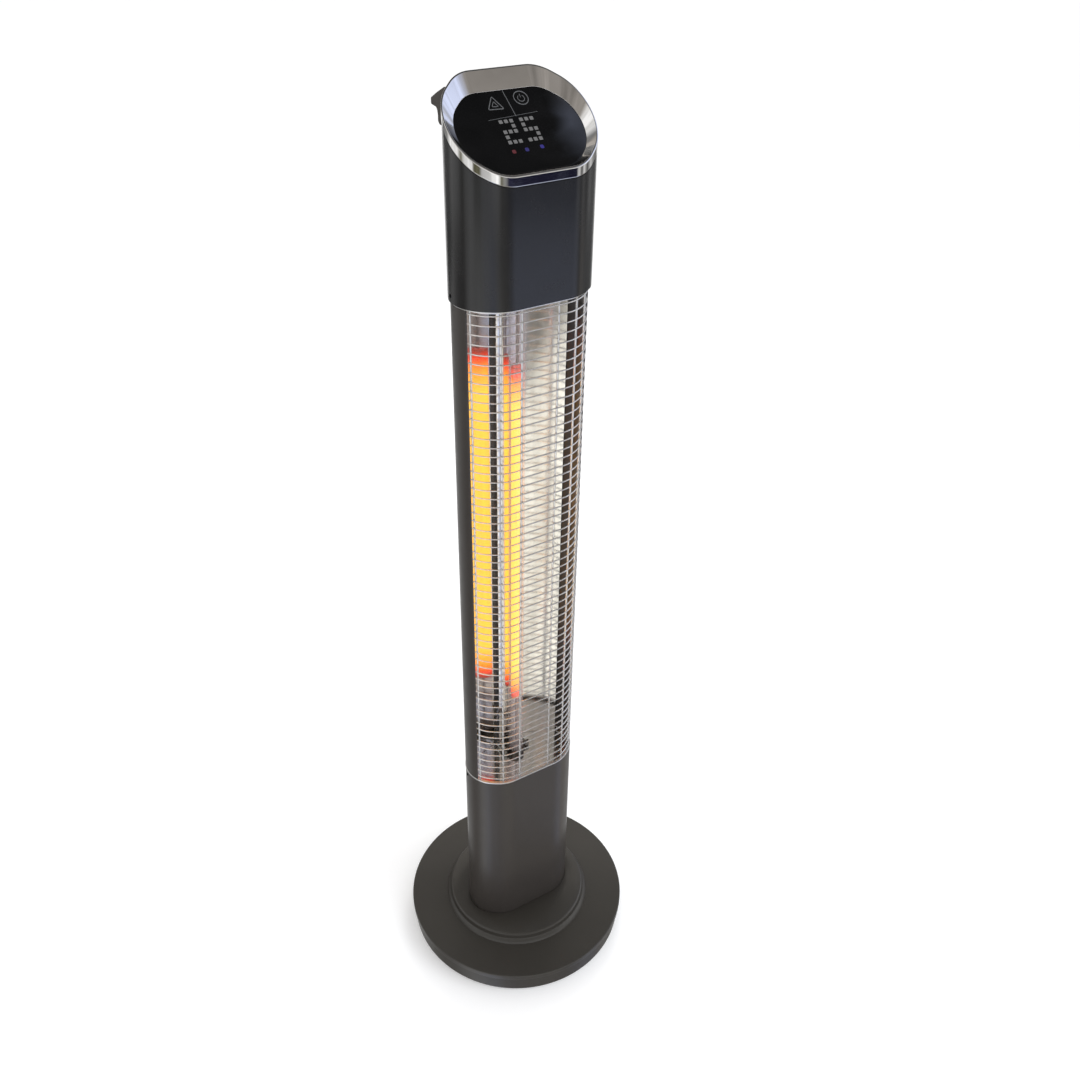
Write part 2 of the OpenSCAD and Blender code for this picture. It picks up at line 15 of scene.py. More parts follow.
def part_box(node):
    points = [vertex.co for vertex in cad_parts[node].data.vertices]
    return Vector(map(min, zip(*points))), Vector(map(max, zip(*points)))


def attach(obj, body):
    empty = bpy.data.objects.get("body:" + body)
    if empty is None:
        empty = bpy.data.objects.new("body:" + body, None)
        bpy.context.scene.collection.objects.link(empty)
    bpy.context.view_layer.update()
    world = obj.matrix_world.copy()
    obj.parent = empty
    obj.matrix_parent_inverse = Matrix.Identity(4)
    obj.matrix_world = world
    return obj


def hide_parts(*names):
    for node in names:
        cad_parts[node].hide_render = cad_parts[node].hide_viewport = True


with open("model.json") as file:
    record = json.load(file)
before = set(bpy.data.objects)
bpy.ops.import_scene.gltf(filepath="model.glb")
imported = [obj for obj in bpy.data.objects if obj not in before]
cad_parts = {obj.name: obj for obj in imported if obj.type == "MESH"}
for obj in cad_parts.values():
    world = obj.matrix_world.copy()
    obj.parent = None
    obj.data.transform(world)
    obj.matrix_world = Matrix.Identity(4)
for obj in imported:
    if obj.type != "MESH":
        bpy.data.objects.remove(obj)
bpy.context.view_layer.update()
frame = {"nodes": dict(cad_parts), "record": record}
NODES = frame["nodes"]
MM = 0.001
SCENE = bpy.context.scene


def span(node, axis):
    """Lowest and highest place of a CAD node along an axis, to a tenth of a millimetre."""
    low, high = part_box(node)
    return round(low[axis] / MM, 1), round(high[axis] / MM, 1)


# ---------------------------------------------------------------- plan of the column
# Corner circles of the right half: centre x, centre y, radius
HALF_PLAN = [(29.3, -3.5, 41.0), (35.8, -3.0, 37.6), (29.0, -1.5, 40.3)]
PLAN = HALF_PLAN + [(-x, y, r) for x, y, r in reversed(HALF_PLAN)]
# Spacing of the outline's points round an arc and along a straight side
ARC_STEP = math.radians(2.5)
SIDE_STEP = 5.0
# How far the head stands out past the column
HEAD_STEP = round(span("head_housing", 0)[1] - span("lower_housing", 0)[1], 1)
# The head's sloping rim: its height on the column's axis, and its angle
RIM_Z = 1105.0
SLOPE = math.radians(39.4)
CHAMBER_BOTTOM, CHAMBER_TOP = span("lower_trim", 2)[1], span("upper_trim", 2)[1]
LAMP_Y = sum(span("quartz_tube", 1)) / 2


def tangent_angle(a, b):
    """Direction of the outward normal of the straight side that joins circles a and b."""
    distance = math.hypot(b[0] - a[0], b[1] - a[1])
    return math.atan2(b[1] - a[1], b[0] - a[0]) - math.acos((a[2] - b[2]) / distance)


def plan_samples():
    """Rows of centre x, centre y, radius, normal x and normal y, round from the front right corner."""
    rows = []
    for i, circle in enumerate(PLAN):
        after = PLAN[(i + 1) % len(PLAN)]
        start = tangent_angle(PLAN[i - 1], circle)
        end = tangent_angle(circle, after)
        while end < start:
            end += 2 * math.pi
        steps = max(2, math.ceil((end - start) / ARC_STEP))
        for k in range(steps + 1):
            t = start + (end - start) * k / steps
            rows.append((*circle, math.cos(t), math.sin(t)))
        normal = (math.cos(end), math.sin(end))
        length = math.hypot(after[0] - circle[0], after[1] - circle[1])
        pieces = max(1, round(length / SIDE_STEP))
        for k in range(1, pieces):
            share = k / pieces
            mixed = [a + (b - a) * share for a, b in zip(circle, after)]
            rows.append((*mixed, *normal))
    return np.array(rows)


SAMPLES = plan_samples()


def ring(grow, z=0.0):
    """Plan outline grown by a length, at height z, which may be a function of x and y."""
    xy = SAMPLES[:, :2] + (SAMPLES[:, 2:3] + grow) * SAMPLES[:, 3:5]
    heights = z(xy[:, 0], xy[:, 1]) if callable(z) else np.full(len(xy), float(z))
    return np.column_stack([xy, heights])


def front_path(grow, y_end):
    """The part of the grown outline in front of y_end, from the left end to the right end."""
    xy = ring(grow)[:, :2]
    count = len(xy)

    def crossing(a, b):
        return a + (b - a) * ((y_end - a[1]) / (b[1] - a[1]))

    i = next(k for k in range(count) if xy[k, 1] < y_end <= xy[k - 1, 1])
    path = [crossing(xy[i - 1], xy[i])]
    while xy[i % count, 1] < y_end:
        path.append(xy[i % count])
        i += 1
    path.append(crossing(xy[(i - 1) % count], xy[i % count]))
    return np.array(path)


# ---------------------------------------------------------------- mesh helpers
# Angles above which an edge stays sharp: on made pieces, on wires, and on rounded CAD copies
SHARP_DEG, WIRE_SHARP_DEG, COPY_SHARP_DEG = 35.0, 50.0, 40.0


def as_object(name, verts, faces, sharp_deg=SHARP_DEG):
    """A mesh object from points in mm, with outward normals and smooth shading up to an angle."""
    mesh = bpy.data.meshes.new(name)
    mesh.from_pydata([tuple(float(c) * MM for c in v) for v in verts], [], faces)
    bm = bmesh.new()
    bm.from_mesh(mesh)
    bmesh.ops.remove_doubles(bm, verts=bm.verts, dist=1e-7)
    bmesh.ops.recalc_face_normals(bm, faces=bm.faces)
    bm.to_mesh(mesh)
    bm.free()
    return finish_mesh(name, mesh, sharp_deg)


def finish_mesh(name, mesh, sharp_deg):
    """Shades a mesh smooth up to an angle and puts it in the scene."""
    mesh.shade_smooth()
    mesh.set_sharp_from_angle(angle=math.radians(sharp_deg))
    obj = bpy.data.objects.new(name, mesh)
    SCENE.collection.objects.link(obj)
    return obj


def grid_faces(rows, columns, wrap_rows):
    """Quads between rings of points; wrap_rows joins the last ring back to the first."""
    faces = []
    for r in range(rows if wrap_rows else rows - 1):
        here, there = r * columns, (r + 1) % rows * columns
        for c in range(columns):
            c2 = (c + 1) % columns
            faces.append((here + c, here + c2, there + c2, there + c))
    return faces


def loft(name, rings, sharp_deg=SHARP_DEG):
    """Closed band of rings that joins back to the first ring."""
    return as_object(name, np.concatenate(rings), grid_faces(len(rings), len(rings[0]), True), sharp_deg)


def rounded(profile, radii, steps=5):
    """A closed 2-D profile with its corners rounded to the given radii."""
    out = []
    count = len(profile)
    if isinstance(radii, (int, float)):
        radii = [radii] * count
    for i, (corner, radius) in enumerate(zip(profile, radii)):
        p = np.array(corner, float)
        if radius <= 0:
            out.append(p)
            continue
        a = np.array(profile[i - 1], float) - p
        b = np.array(profile[(i + 1) % count], float) - p
        la, lb = np.linalg.norm(a), np.linalg.norm(b)
        a, b = a / la, b / lb
        half = math.acos(max(-1.0, min(1.0, float(a @ b)))) / 2
        # Just under half a side at most, so that neighbouring roundings never meet
        reach = min(radius / math.tan(half), 0.49 * la, 0.49 * lb)
        for k in range(steps + 1):
            t = k / steps
            out.append(p + (1 - t) ** 2 * a * reach + t**2 * b * reach)
    return out


def round_ring(turns, radius, height):
    """Points of a level circle about the column's axis, at the given angles."""
    return np.column_stack([np.cos(turns) * radius, np.sin(turns) * radius, np.full(len(turns), height)])


def lathe(name, profile, count=192):
    """A closed profile of (radius, height) turned about the column's axis."""
    turns = np.linspace(0, 2 * math.pi, count, endpoint=False)
    return loft(name, [round_ring(turns, r, h) for r, h in profile])


def tube_parts(points, radius, sides, closed=False):
    """Vertices and faces of a round tube along points."""
    points = np.array(points, float)
    count = len(points)
    if closed:
        tangents = np.roll(points, -1, 0) - np.roll(points, 1, 0)
    else:
        tangents = np.gradient(points, axis=0)
    tangents /= np.linalg.norm(tangents, axis=1)[:, None]
    side = np.cross(tangents[0], [0.0, 0.0, 1.0])
    if np.linalg.norm(side) < 1e-3:
        side = np.array([1.0, 0.0, 0.0])
    verts = []
    turns = np.linspace(0, 2 * math.pi, sides, endpoint=False)
    for p, t in zip(points, tangents):
        side = side - t * (side @ t)
        side /= np.linalg.norm(side)
        other = np.cross(t, side)
        for a in turns:
            verts.append(p + radius * (math.cos(a) * side + math.sin(a) * other))
    faces = grid_faces(count, sides, closed)
    if not closed:
        faces.append(tuple(range(sides - 1, -1, -1)))
        faces.append(tuple((count - 1) * sides + i for i in range(sides)))
    return verts, faces


def joined(parts):
    """Several (vertices, faces) lists as one."""
    verts, faces = [], []
    for v, f in parts:
        base = len(verts)
        verts.extend(v)
        faces.extend(tuple(base + i for i in face) for face in f)
    return verts, faces


def ball_parts(centre, radius, rows=4, columns=8):
    """Vertices and faces of a small ball."""
    verts = []
    for r in range(rows + 1):
        polar = math.pi * r / rows
        for c in range(columns):
            turn = 2 * math.pi * c / columns
            direction = (math.sin(polar) * math.cos(turn), math.sin(polar) * math.sin(turn), math.cos(polar))
            verts.append(np.array(centre) + radius * np.array(direction))
    return verts, grid_faces(rows + 1, columns, False)


def placed(parts, matrix):
    """Vertices moved by a matrix, with their faces."""
    verts, faces = parts
    m = np.array(matrix)
    return [m[:3, :3] @ np.array(v, float) + m[:3, 3] for v in verts], faces


FLAT_ANGLE, EDGE_ANGLE, BEVEL_STEPS = math.radians(1.0), math.radians(30.0), 3


def softened(node, name, width):
    """A copy of a CAD node's mesh with its flat faces cleaned and its sharp edges rounded."""
    mesh = NODES[node].data.copy()
    mesh.name = name
    for attribute in ("custom_normal", "sharp_edge", "sharp_face"):
        if attribute in mesh.attributes:
            mesh.attributes.remove(mesh.attributes[attribute])
    mesh.materials.clear()
    bm = bmesh.new()
    bm.from_mesh(mesh)
    bmesh.ops.remove_doubles(bm, verts=bm.verts, dist=2e-6)
    bmesh.ops.dissolve_limit(bm, angle_limit=FLAT_ANGLE, verts=bm.verts, edges=bm.edges)
    edges = [e for e in bm.edges if len(e.link_faces) == 2 and e.calc_face_angle(0) > EDGE_ANGLE]
    bmesh.ops.bevel(
        bm, geom=edges, offset=width * MM, offset_type="OFFSET", segments=BEVEL_STEPS, profile=0.5,
        affect="EDGES", clamp_overlap=True,
    )
    bmesh.ops.recalc_face_normals(bm, faces=bm.faces)
    bm.to_mesh(mesh)
    bm.free()
    return finish_mesh(name, mesh, COPY_SHARP_DEG)


# ---------------------------------------------------------------- materials
def linear(*rgb):
    """Linear colour of an sRGB colour given from 0 to 255."""
    out = []
    for c in rgb:
        c = c / 255
        out.append(c / 12.92 if c <= 0.04045 else ((c + 0.055) / 1.055) ** 2.4)
    return tuple(out)


def add_node(tree, kind, **values):
    """A new shader node with its properties set."""
    n = tree.nodes.new(kind)
    for key, value in values.items():
        setattr(n, key, value)
    return n


def add_ramp(tree, source, stops):
    """Colour that source picks from a ramp of (position, colour) stops."""
    n = add_node(tree, "ShaderNodeValToRGB")
    elements = n.color_ramp.elements
    while len(elements) < len(stops):
        elements.new(0.5)
    for element, (position, value) in zip(elements, stops):
        element.position = position
        element.color = (*value, 1.0)
    tree.links.new(source, n.inputs["Fac"])
    return n.outputs["Color"]


class Finish:
    """A node-based material round one Principled shader, patterned in the object's own coordinates."""

    def __init__(self, name, color, rough, metal=0.0):
        self.mat = bpy.data.materials.new(name)
        self.mat.use_nodes = True
        self.tree = self.mat.node_tree
        self.shader = self.tree.nodes["Principled BSDF"]
        self.color = tuple(color)
        self.rough = rough
        self.set("Base Color", (*color, 1.0))
        self.set("Roughness", rough)
        self.set("Metallic", metal)
        self.coords = self.node("ShaderNodeTexCoord").outputs["Object"]
        self.bump_from = None

    def node(self, kind):
        return add_node(self.tree, kind)

    def link(self, a, b):
        self.tree.links.new(a, b)

    def set(self, socket, value):
        self.shader.inputs[socket].default_value = value
        return self

    def noise(self, scale, detail, stretch):
        """Noise over the object, with its coordinates stretched if asked."""
        n = self.node("ShaderNodeTexNoise")
        n.inputs["Scale"].default_value = scale
        n.inputs["Detail"].default_value = detail
        source = self.coords
        if stretch:
            mapping = self.node("ShaderNodeMapping")
            mapping.inputs["Scale"].default_value = stretch
            self.link(source, mapping.inputs["Vector"])
            source = mapping.outputs["Vector"]
        self.link(source, n.inputs["Vector"])
        return n.outputs["Fac"]

    def spread(self, source, low, high, start=0.3, end=0.7):
        """Maps source, from start to end, onto low to high."""
        n = self.node("ShaderNodeMapRange")
        for key, value in (("From Min", start), ("From Max", end), ("To Min", low), ("To Max", high)):
            n.inputs[key].default_value = value
        self.link(source, n.inputs["Value"])
        return n.outputs["Result"]

    def tone(self, amount, scale, stretch=None):
        """Mottles the colour by a share of itself."""
        low = tuple(c * (1 - amount) for c in self.color)
        high = tuple(min(1.0, c * (1 + amount)) for c in self.color)
        source = self.noise(scale, 4.0, stretch)
        self.link(add_ramp(self.tree, source, [(0.3, low), (0.7, high)]), self.shader.inputs["Base Color"])
        return self

    def rough_noise(self, amount, scale, stretch=None):
        """Varies the roughness by an amount to either side."""
        source = self.noise(scale, 3.0, stretch)
        result = self.spread(source, max(0.02, self.rough - amount), min(1.0, self.rough + amount))
        self.link(result, self.shader.inputs["Roughness"])
        return self

    def bump(self, scale, height_mm, strength, stretch=None):
        """Adds surface relief of the given height to what is already there."""
        n = self.node("ShaderNodeBump")
        n.inputs["Strength"].default_value = strength
        n.inputs["Distance"].default_value = height_mm * MM
        self.link(self.noise(scale, 2.0, stretch), n.inputs["Height"])
        if self.bump_from is not None:
            self.link(self.bump_from, n.inputs["Normal"])
        self.bump_from = n.outputs["Normal"]
        self.link(self.bump_from, self.shader.inputs["Normal"])
        return self


def powder(name, color, rough, grain, coat):
    """Powder-coated metal: a fine grain of the given height in mm under a share of clear coat."""
    f = Finish(name, color, rough).tone(0.05, 14.0).rough_noise(0.03, 60.0)
    f.bump(1400.0, grain, 0.5)
    f.set("Coat Weight", coat).set("Coat Roughness", 0.12).set("Specular IOR Level", 0.5)
    return f.mat


def chrome(name, tint, rough):
    """Bright plating with a very slight waviness."""
    f = Finish(name, tint, rough, 1.0).tone(0.03, 40.0).rough_noise(0.025, 90.0)
    f.bump(260.0, 0.006, 0.5)
    return f.mat


def steel(name, color, rough):
    """Plain worked metal with faint marks across it."""
    stretch = (1.0, 1.0, 12.0)
    f = Finish(name, color, rough, 1.0).tone(0.08, 120.0, stretch).rough_noise(0.06, 200.0, stretch)
    f.bump(500.0, 0.008, 0.5, stretch)
    return f.mat


def sheet_metal(name, color, rough):
    """Bright rolled sheet with faint lengthwise rolling lines and slow waves."""
    f = Finish(name, color, rough, 1.0).tone(0.04, 160.0, (1.0, 1.0, 0.03)).rough_noise(0.03, 90.0)
    f.bump(220.0, 0.006, 0.5, (1.0, 1.0, 0.05)).bump(26.0, 0.05, 0.5)
    return f.mat


def moulded(name, color, rough, grain=0.02, tone=0.08):
    """Moulded or cast surface with a grain of the given height in mm."""
    f = Finish(name, color, rough).tone(tone, 30.0).rough_noise(0.05, 120.0)
    f.bump(700.0, grain, 0.6)
    return f.mat


def quartz():
    """Thin quartz glass, drawn lengthwise, that lets the coil show through."""
    f = Finish("quartz_glass", (0.72, 0.60, 0.57), 0.12)
    f.tone(0.08, 60.0, (1.0, 1.0, 0.2)).rough_noise(0.05, 80.0)
    f.bump(150.0, 0.02, 0.4, (1.0, 1.0, 0.25))
    f.set("Alpha", 0.2).set("IOR", 1.46)
    return f.mat


def glow(name, strength, z_low, z_high, tip):
    """Hot wire: red at both tips of the coil and orange-yellow between them."""
    f = Finish(name, (0.25, 0.08, 0.03), 0.5).rough_noise(0.1, 400.0)
    split = f.node("ShaderNodeSeparateXYZ")
    f.link(f.coords, split.inputs["Vector"])
    along = f.spread(split.outputs["Z"], 0.0, 1.0, z_low * MM, z_high * MM)
    share = tip / (z_high - z_low)
    red, orange, core = (0.75, 0.04, 0.004), (1.0, 0.26, 0.012), (1.0, 0.50, 0.045)
    stops = [(0.0, (0.10, 0.004, 0.001)), (share * 0.5, red), (share, orange), (share * 2.2, core)]
    stops += [(1 - p, c) for p, c in reversed(stops)]
    f.link(add_ramp(f.tree, along, stops), f.shader.inputs["Emission Color"])
    f.set("Emission Strength", strength)
    return f.mat


def lit(name, color, strength, base=(0.05, 0.05, 0.05)):
    """A lens or a dot that gives off a little light of a colour."""
    f = Finish(name, base, 0.35).rough_noise(0.08, 300.0).tone(0.05, 200.0)
    f.set("Emission Color", (*color, 1.0)).set("Emission Strength", strength)
    return f.mat


def board(name):
    """Green circuit board with the mottling of its tracks."""
    f = Finish(name, linear(18, 78, 44), 0.4).tone(0.25, 180.0, (1.0, 1.0, 6.0)).rough_noise(0.08, 300.0)
    f.bump(600.0, 0.03, 0.5)
    return f.mat


MATERIALS = {
    "foot_rubber": moulded("foot_rubber", linear(28, 28, 28), 0.85, 0.05),
    "base_tray_black": powder("base_tray_black", linear(52, 49, 44), 0.48, 0.03, 0.25),
    "base_black": powder("base_black", linear(52, 49, 44), 0.44, 0.03, 0.35),
    "ballast_cement": moulded("ballast_cement", linear(120, 118, 112), 0.95, 0.3, 0.25),
    "zinc_steel": steel("zinc_steel", linear(190, 190, 186), 0.35),
    "column_black": powder("column_black", linear(58, 54, 51), 0.34, 0.003, 0.10),
    "head_black": powder("head_black", linear(21, 21, 23), 0.25, 0.0015, 0.35),
    "trim_chrome": chrome("trim_chrome", (0.86, 0.86, 0.86), 0.32),
    "guard_chrome": chrome("guard_chrome", (0.93, 0.92, 0.90), 0.20),
    "bezel_chrome": chrome("bezel_chrome", (0.88, 0.87, 0.86), 0.06),
    "screw_black": steel("screw_black", linear(40, 40, 42), 0.4),
    "reflector_aluminium": sheet_metal("reflector_aluminium", (0.93, 0.92, 0.90), 0.10),
    "lamp_ceramic": moulded("lamp_ceramic", linear(226, 216, 198), 0.6, 0.04),
    "quartz_glass": quartz(),
    "clip_steel": steel("clip_steel", linear(120, 114, 108), 0.35),
    "cutout_black": moulded("cutout_black", linear(40, 40, 44), 0.4),
    "lead_insulation": moulded("lead_insulation", linear(44, 44, 47), 0.7, 0.06),
    "terminal_white": moulded("terminal_white", linear(224, 222, 212), 0.5),
    "fitting_black": moulded("fitting_black", linear(24, 24, 24), 0.5, 0.03),
    "rocker_red": moulded("rocker_red", linear(150, 22, 18), 0.3, 0.01),
    "display_gloss": moulded("display_gloss", linear(9, 9, 10), 0.06, 0.001, 0.1),
    "led_module": moulded("led_module", linear(42, 42, 44), 0.5),
    "indicator_lens": lit("indicator_lens", (0.4, 0.02, 0.06), 0.4),
    "circuit_green": board("circuit_green"),
    "relay_blue": moulded("relay_blue", linear(34, 60, 130), 0.45),
    "sink_aluminium": steel("sink_aluminium", linear(200, 200, 198), 0.4),
    "capacitor_orange": moulded("capacitor_orange", linear(205, 120, 40), 0.45),
    "handle_grey": moulded("handle_grey", linear(66, 62, 58), 0.5, 0.03),
}
COIL_Z0, COIL_Z1 = 399.0, 858.0
MATERIALS["glowing_coil"] = glow("glowing_coil", 2.2, COIL_Z0, COIL_Z1, 22.0)

for spec in frame["record"]["subparts"]:
    target = NODES[spec["node"]].data
    target.materials.clear()
    target.materials.append(MATERIALS[spec["material_slot"]])


def dress(obj, slot, body="root", stands_for=(), material=None):
    """Gives a new piece the material of its slot, or the material passed in, puts it on its body, and hides
    the CAD nodes that it stands for.
    """
    obj.data.materials.clear()
    obj.data.materials.append(material or MATERIALS[slot])
    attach(obj, body)
    if stands_for:
        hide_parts(*stands_for)
    return obj


# ---------------------------------------------------------------- base
BASE_R, BASE_TOP = span("base_cover", 0)[1], span("base_cover", 2)[1]
COVER_T, COVER_SIDE = 4.0, 8.0
cover_profile = rounded(
    [
        (0, BASE_TOP - COVER_T), (BASE_R - COVER_T, BASE_TOP - COVER_T),
        (BASE_R - COVER_T, BASE_TOP - COVER_SIDE), (BASE_R, BASE_TOP - COVER_SIDE), (BASE_R, BASE_TOP),
        (0, BASE_TOP),
    ],
    [0, 0, 0.4, 1.0, 1.6, 0],
)
dress(lathe("base_cover_disc", cover_profile), "base_black", stands_for=["base_cover"])

SKIRT_R, (SKIRT_LOW, SKIRT_TOP) = span("base_tray", 0)[1], span("base_tray", 2)
SKIRT_T = 3.5
TRAY_LOW, TRAY_TOP = 3.0, 6.0
tray_profile = rounded(
    [
        (0, TRAY_LOW), (SKIRT_R - 5, TRAY_LOW), (SKIRT_R - SKIRT_T, SKIRT_LOW), (SKIRT_R - 1, SKIRT_LOW),
        (SKIRT_R, TRAY_LOW), (SKIRT_R, SKIRT_TOP), (SKIRT_R - SKIRT_T, SKIRT_TOP),
        (SKIRT_R - SKIRT_T, TRAY_TOP), (0, TRAY_TOP),
    ],
    [0, 0, 0.5, 0.5, 1.0, 0.8, 0.6, 0, 0],
)
dress(lathe("base_skirt", tray_profile), "base_tray_black", stands_for=["base_tray"])

COLLAR_R, COLLAR_TOP = span("base_collar", 0)[1], span("base_collar", 2)[1]
COLLAR_GAP = 0.1
# Inset from the collar's foot and rise above the base, up its rounded side
COLLAR_SIDE = [(0.0, 0.0), (1.4, 2.4), (4.4, 6.0), (5.6, 11.6), (7.2, 14.0)]


def collar():
    """Raised ring: round outside, with a hole that follows the column."""
    hole = ring(COLLAR_GAP)[:, :2]
    turn = np.arctan2(hole[:, 1], hole[:, 0])
    corners = [(COLLAR_R - inset, BASE_TOP + rise) for inset, rise in COLLAR_SIDE]
    # The last corner's rounding gives way to a lip with points of its own
    outside = [corners[0]] + rounded(corners, [0, 2.0, 3.0, 1.5, 1.2], 4)[1:-5]
    outside += [(COLLAR_R - 7.1, COLLAR_TOP - 0.3), (COLLAR_R - 7.7, COLLAR_TOP)]
    rings = [round_ring(turn, r, z) for r, z in outside]
    inner_edge = [(0.9, 0.0), (0.35, 0.15), (COLLAR_GAP, 0.6), (COLLAR_GAP, COLLAR_TOP - BASE_TOP)]
    rings += [ring(grow, COLLAR_TOP - drop) for grow, drop in inner_edge]
    return loft("column_collar", rings, 30.0)


dress(collar(), "base_black", stands_for=["base_collar"])

# ---------------------------------------------------------------- column trims and head bezel
TRIM_H, TRIM_IN, TRIM_OUT = 2.0, -3.0, 0.55
TRIM_SECTION = rounded(
    [(TRIM_IN, 0.0), (TRIM_OUT, 0.0), (TRIM_OUT, TRIM_H), (TRIM_IN, TRIM_H)], [0, TRIM_OUT, TRIM_OUT, 0], 4
)
for trim_name, trim_node, trim_z in (
    ("lower_trim_ring", "lower_trim", CHAMBER_BOTTOM - TRIM_H),
    ("upper_trim_ring", "upper_trim", CHAMBER_TOP - TRIM_H),
):
    trim = loft(trim_name, [ring(g, trim_z + h) for g, h in TRIM_SECTION])
    dress(trim, "trim_chrome", stands_for=[trim_node])


def under_rim(drop):
    """Height of the sloping rim plane, lowered by drop, over a point of the plan."""
    return lambda x, y: RIM_Z - drop + y * math.tan(SLOPE)


# Height of the bezel's bright band, of the groove under it, and how far down and in its dish goes
BAND, GROOVE = 10.0, 1.3
DISH_DROP, DISH_INSET = 9.0, 10.2
OUT, RIM_IN, DISH_IN = HEAD_STEP + 0.3, HEAD_STEP - 1.2, HEAD_STEP - DISH_INSET


def on_slope(share):
    """A point part of the way down the bezel's inner slope."""
    return RIM_IN + (DISH_IN - RIM_IN) * share, DISH_DROP * share


# Points that lie just inside a corner keep the flat beside it flat when it is shaded smooth
bezel_corners = [
    ((RIM_IN, BAND), 0.0),
    ((RIM_IN, BAND - GROOVE), 0.0),
    ((OUT, BAND - GROOVE), 0.3),
    ((OUT, BAND - GROOVE - 0.7), 0.0),
    ((OUT, 1.2), 0.0),
    ((OUT, 0.0), 0.8),
    ((RIM_IN, -0.15), 0.6),
    (on_slope(0.1), 0.0),
    (on_slope(0.94), 0.0),
    ((DISH_IN, DISH_DROP), 0.3),
    ((DISH_IN, BAND), 0.0),
]
bezel_section = rounded(*zip(*bezel_corners))
bezel = loft("head_bezel", [ring(grow, under_rim(drop)) for grow, drop in bezel_section], 40.0)
dress(bezel, "bezel_chrome", stands_for=["bezel"])

# ---------------------------------------------------------------- display marks
TILTED = Matrix.Translation((0, 0, RIM_Z - DISH_DROP)) @ Matrix.Rotation(SLOPE, 4, "X")
# How far a mark stands above the glass, and how far it reaches into it
PRINT, SINK = 0.12, 0.4


def slab_parts(x, y, size, corner):
    """A small square plate with rounded corners on the display face."""
    half = size / 2
    square = [(x - half, y - half), (x + half, y - half), (x + half, y + half), (x - half, y + half)]
    outline = rounded(square, corner, 3)
    n = len(outline)
    verts = [(px, py, -SINK) for px, py in outline] + [(px, py, PRINT) for px, py in outline]
    faces = [tuple(range(n - 1, -1, -1)), tuple(range(n, 2 * n))]
    faces += [(i, (i + 1) % n, n + (i + 1) % n, n + i) for i in range(n)]
    return verts, faces


def line_parts(points, width, closed=False):
    """A printed line through points on the display face."""
    return tube_parts([(x, y, 0.0) for x, y in points], width / 2, 6, closed)


GLYPHS = {"2": ("111", "001", "111", "100", "111"), "5": ("111", "100", "111", "001", "111")}
DOT_PITCH, DOT_SIZE, DOT_CORNER = 5.5, 3.7, 0.5
DIGIT_TOP = 6.6
LED_SIZE, LED_CORNER = 3.8, 1.2
dots = []
for glyph, left in (("2", -17.0), ("5", 4.3)):
    for row, bits in enumerate(GLYPHS[glyph]):
        for column, bit in enumerate(bits):
            if bit == "1":
                spot = (left + column * DOT_PITCH, DIGIT_TOP - row * DOT_PITCH)
                dots.append(slab_parts(*spot, DOT_SIZE, DOT_CORNER))
digits_lit = lit("digit_dots", (0.62, 0.60, 0.58), 0.07, (0.11, 0.11, 0.11))
digit_dots = as_object("display_digits", *placed(joined(dots), TILTED))
dress(digit_dots, "indicator_lens", material=digits_lit)

for led_name, led_x, led_y, led_color, led_power in (
    ("led_red", -17.3, -25.2, (0.50, 0.02, 0.05), 0.18),
    ("led_blue_left", -3.7, -24.9, (0.05, 0.03, 0.55), 0.22),
    ("led_blue_right", 12.6, -24.1, (0.05, 0.03, 0.60), 0.30),
):
    led = as_object(led_name, *placed(slab_parts(led_x, led_y, LED_SIZE, LED_CORNER), TILTED))
    led_light = lit(led_name + "_light", led_color, led_power, (0.02, 0.02, 0.02))
    dress(led, "indicator_lens", material=led_light)


def circle_points(x, y, radius, start=0.0, end=360.0, count=40):
    """Points round an arc; a full circle doesn't repeat its first point."""
    turns = [math.radians(start + (end - start) * k / count) for k in range(count + (end - start < 360))]
    return [(x + radius * math.cos(t), y + radius * math.sin(t)) for t in turns]


HAIR, FINE, BOLD = 0.35, 0.7, 0.9
triangle = rounded([(-14.6, 34.0), (-23.3, 20.6), (-7.4, 19.8)], 1.0, 4)
small_triangle = rounded([(-14.9, 28.6), (-18.4, 23.2), (-11.9, 22.9)], 0.6, 3)
POWER_X, POWER_Y = 14.4, 29.0
marks = [
    line_parts([(-0.9, 39.0), (0.9, 10.5)], FINE),
    line_parts([(-28.1, 9.8), (-10.0, 10.8), (24.8, 12.6)], HAIR),
    line_parts(triangle, BOLD, True),
    line_parts(small_triangle, FINE, True),
    line_parts(circle_points(POWER_X, POWER_Y, 7.2), BOLD, True),
    line_parts(circle_points(POWER_X, POWER_Y - 0.4, 3.4, 125.0, 415.0, 24), FINE),
    line_parts([(POWER_X, POWER_Y + 0.6), (POWER_X, POWER_Y + 4.2)], FINE),
]
printed = Finish("printed_grey", linear(98, 99, 101), 0.5).tone(0.08, 90.0).rough_noise(0.08, 200.0).mat
display_marks = as_object("display_marks", *placed(joined(marks), TILTED))
dress(display_marks, "indicator_lens", material=printed)

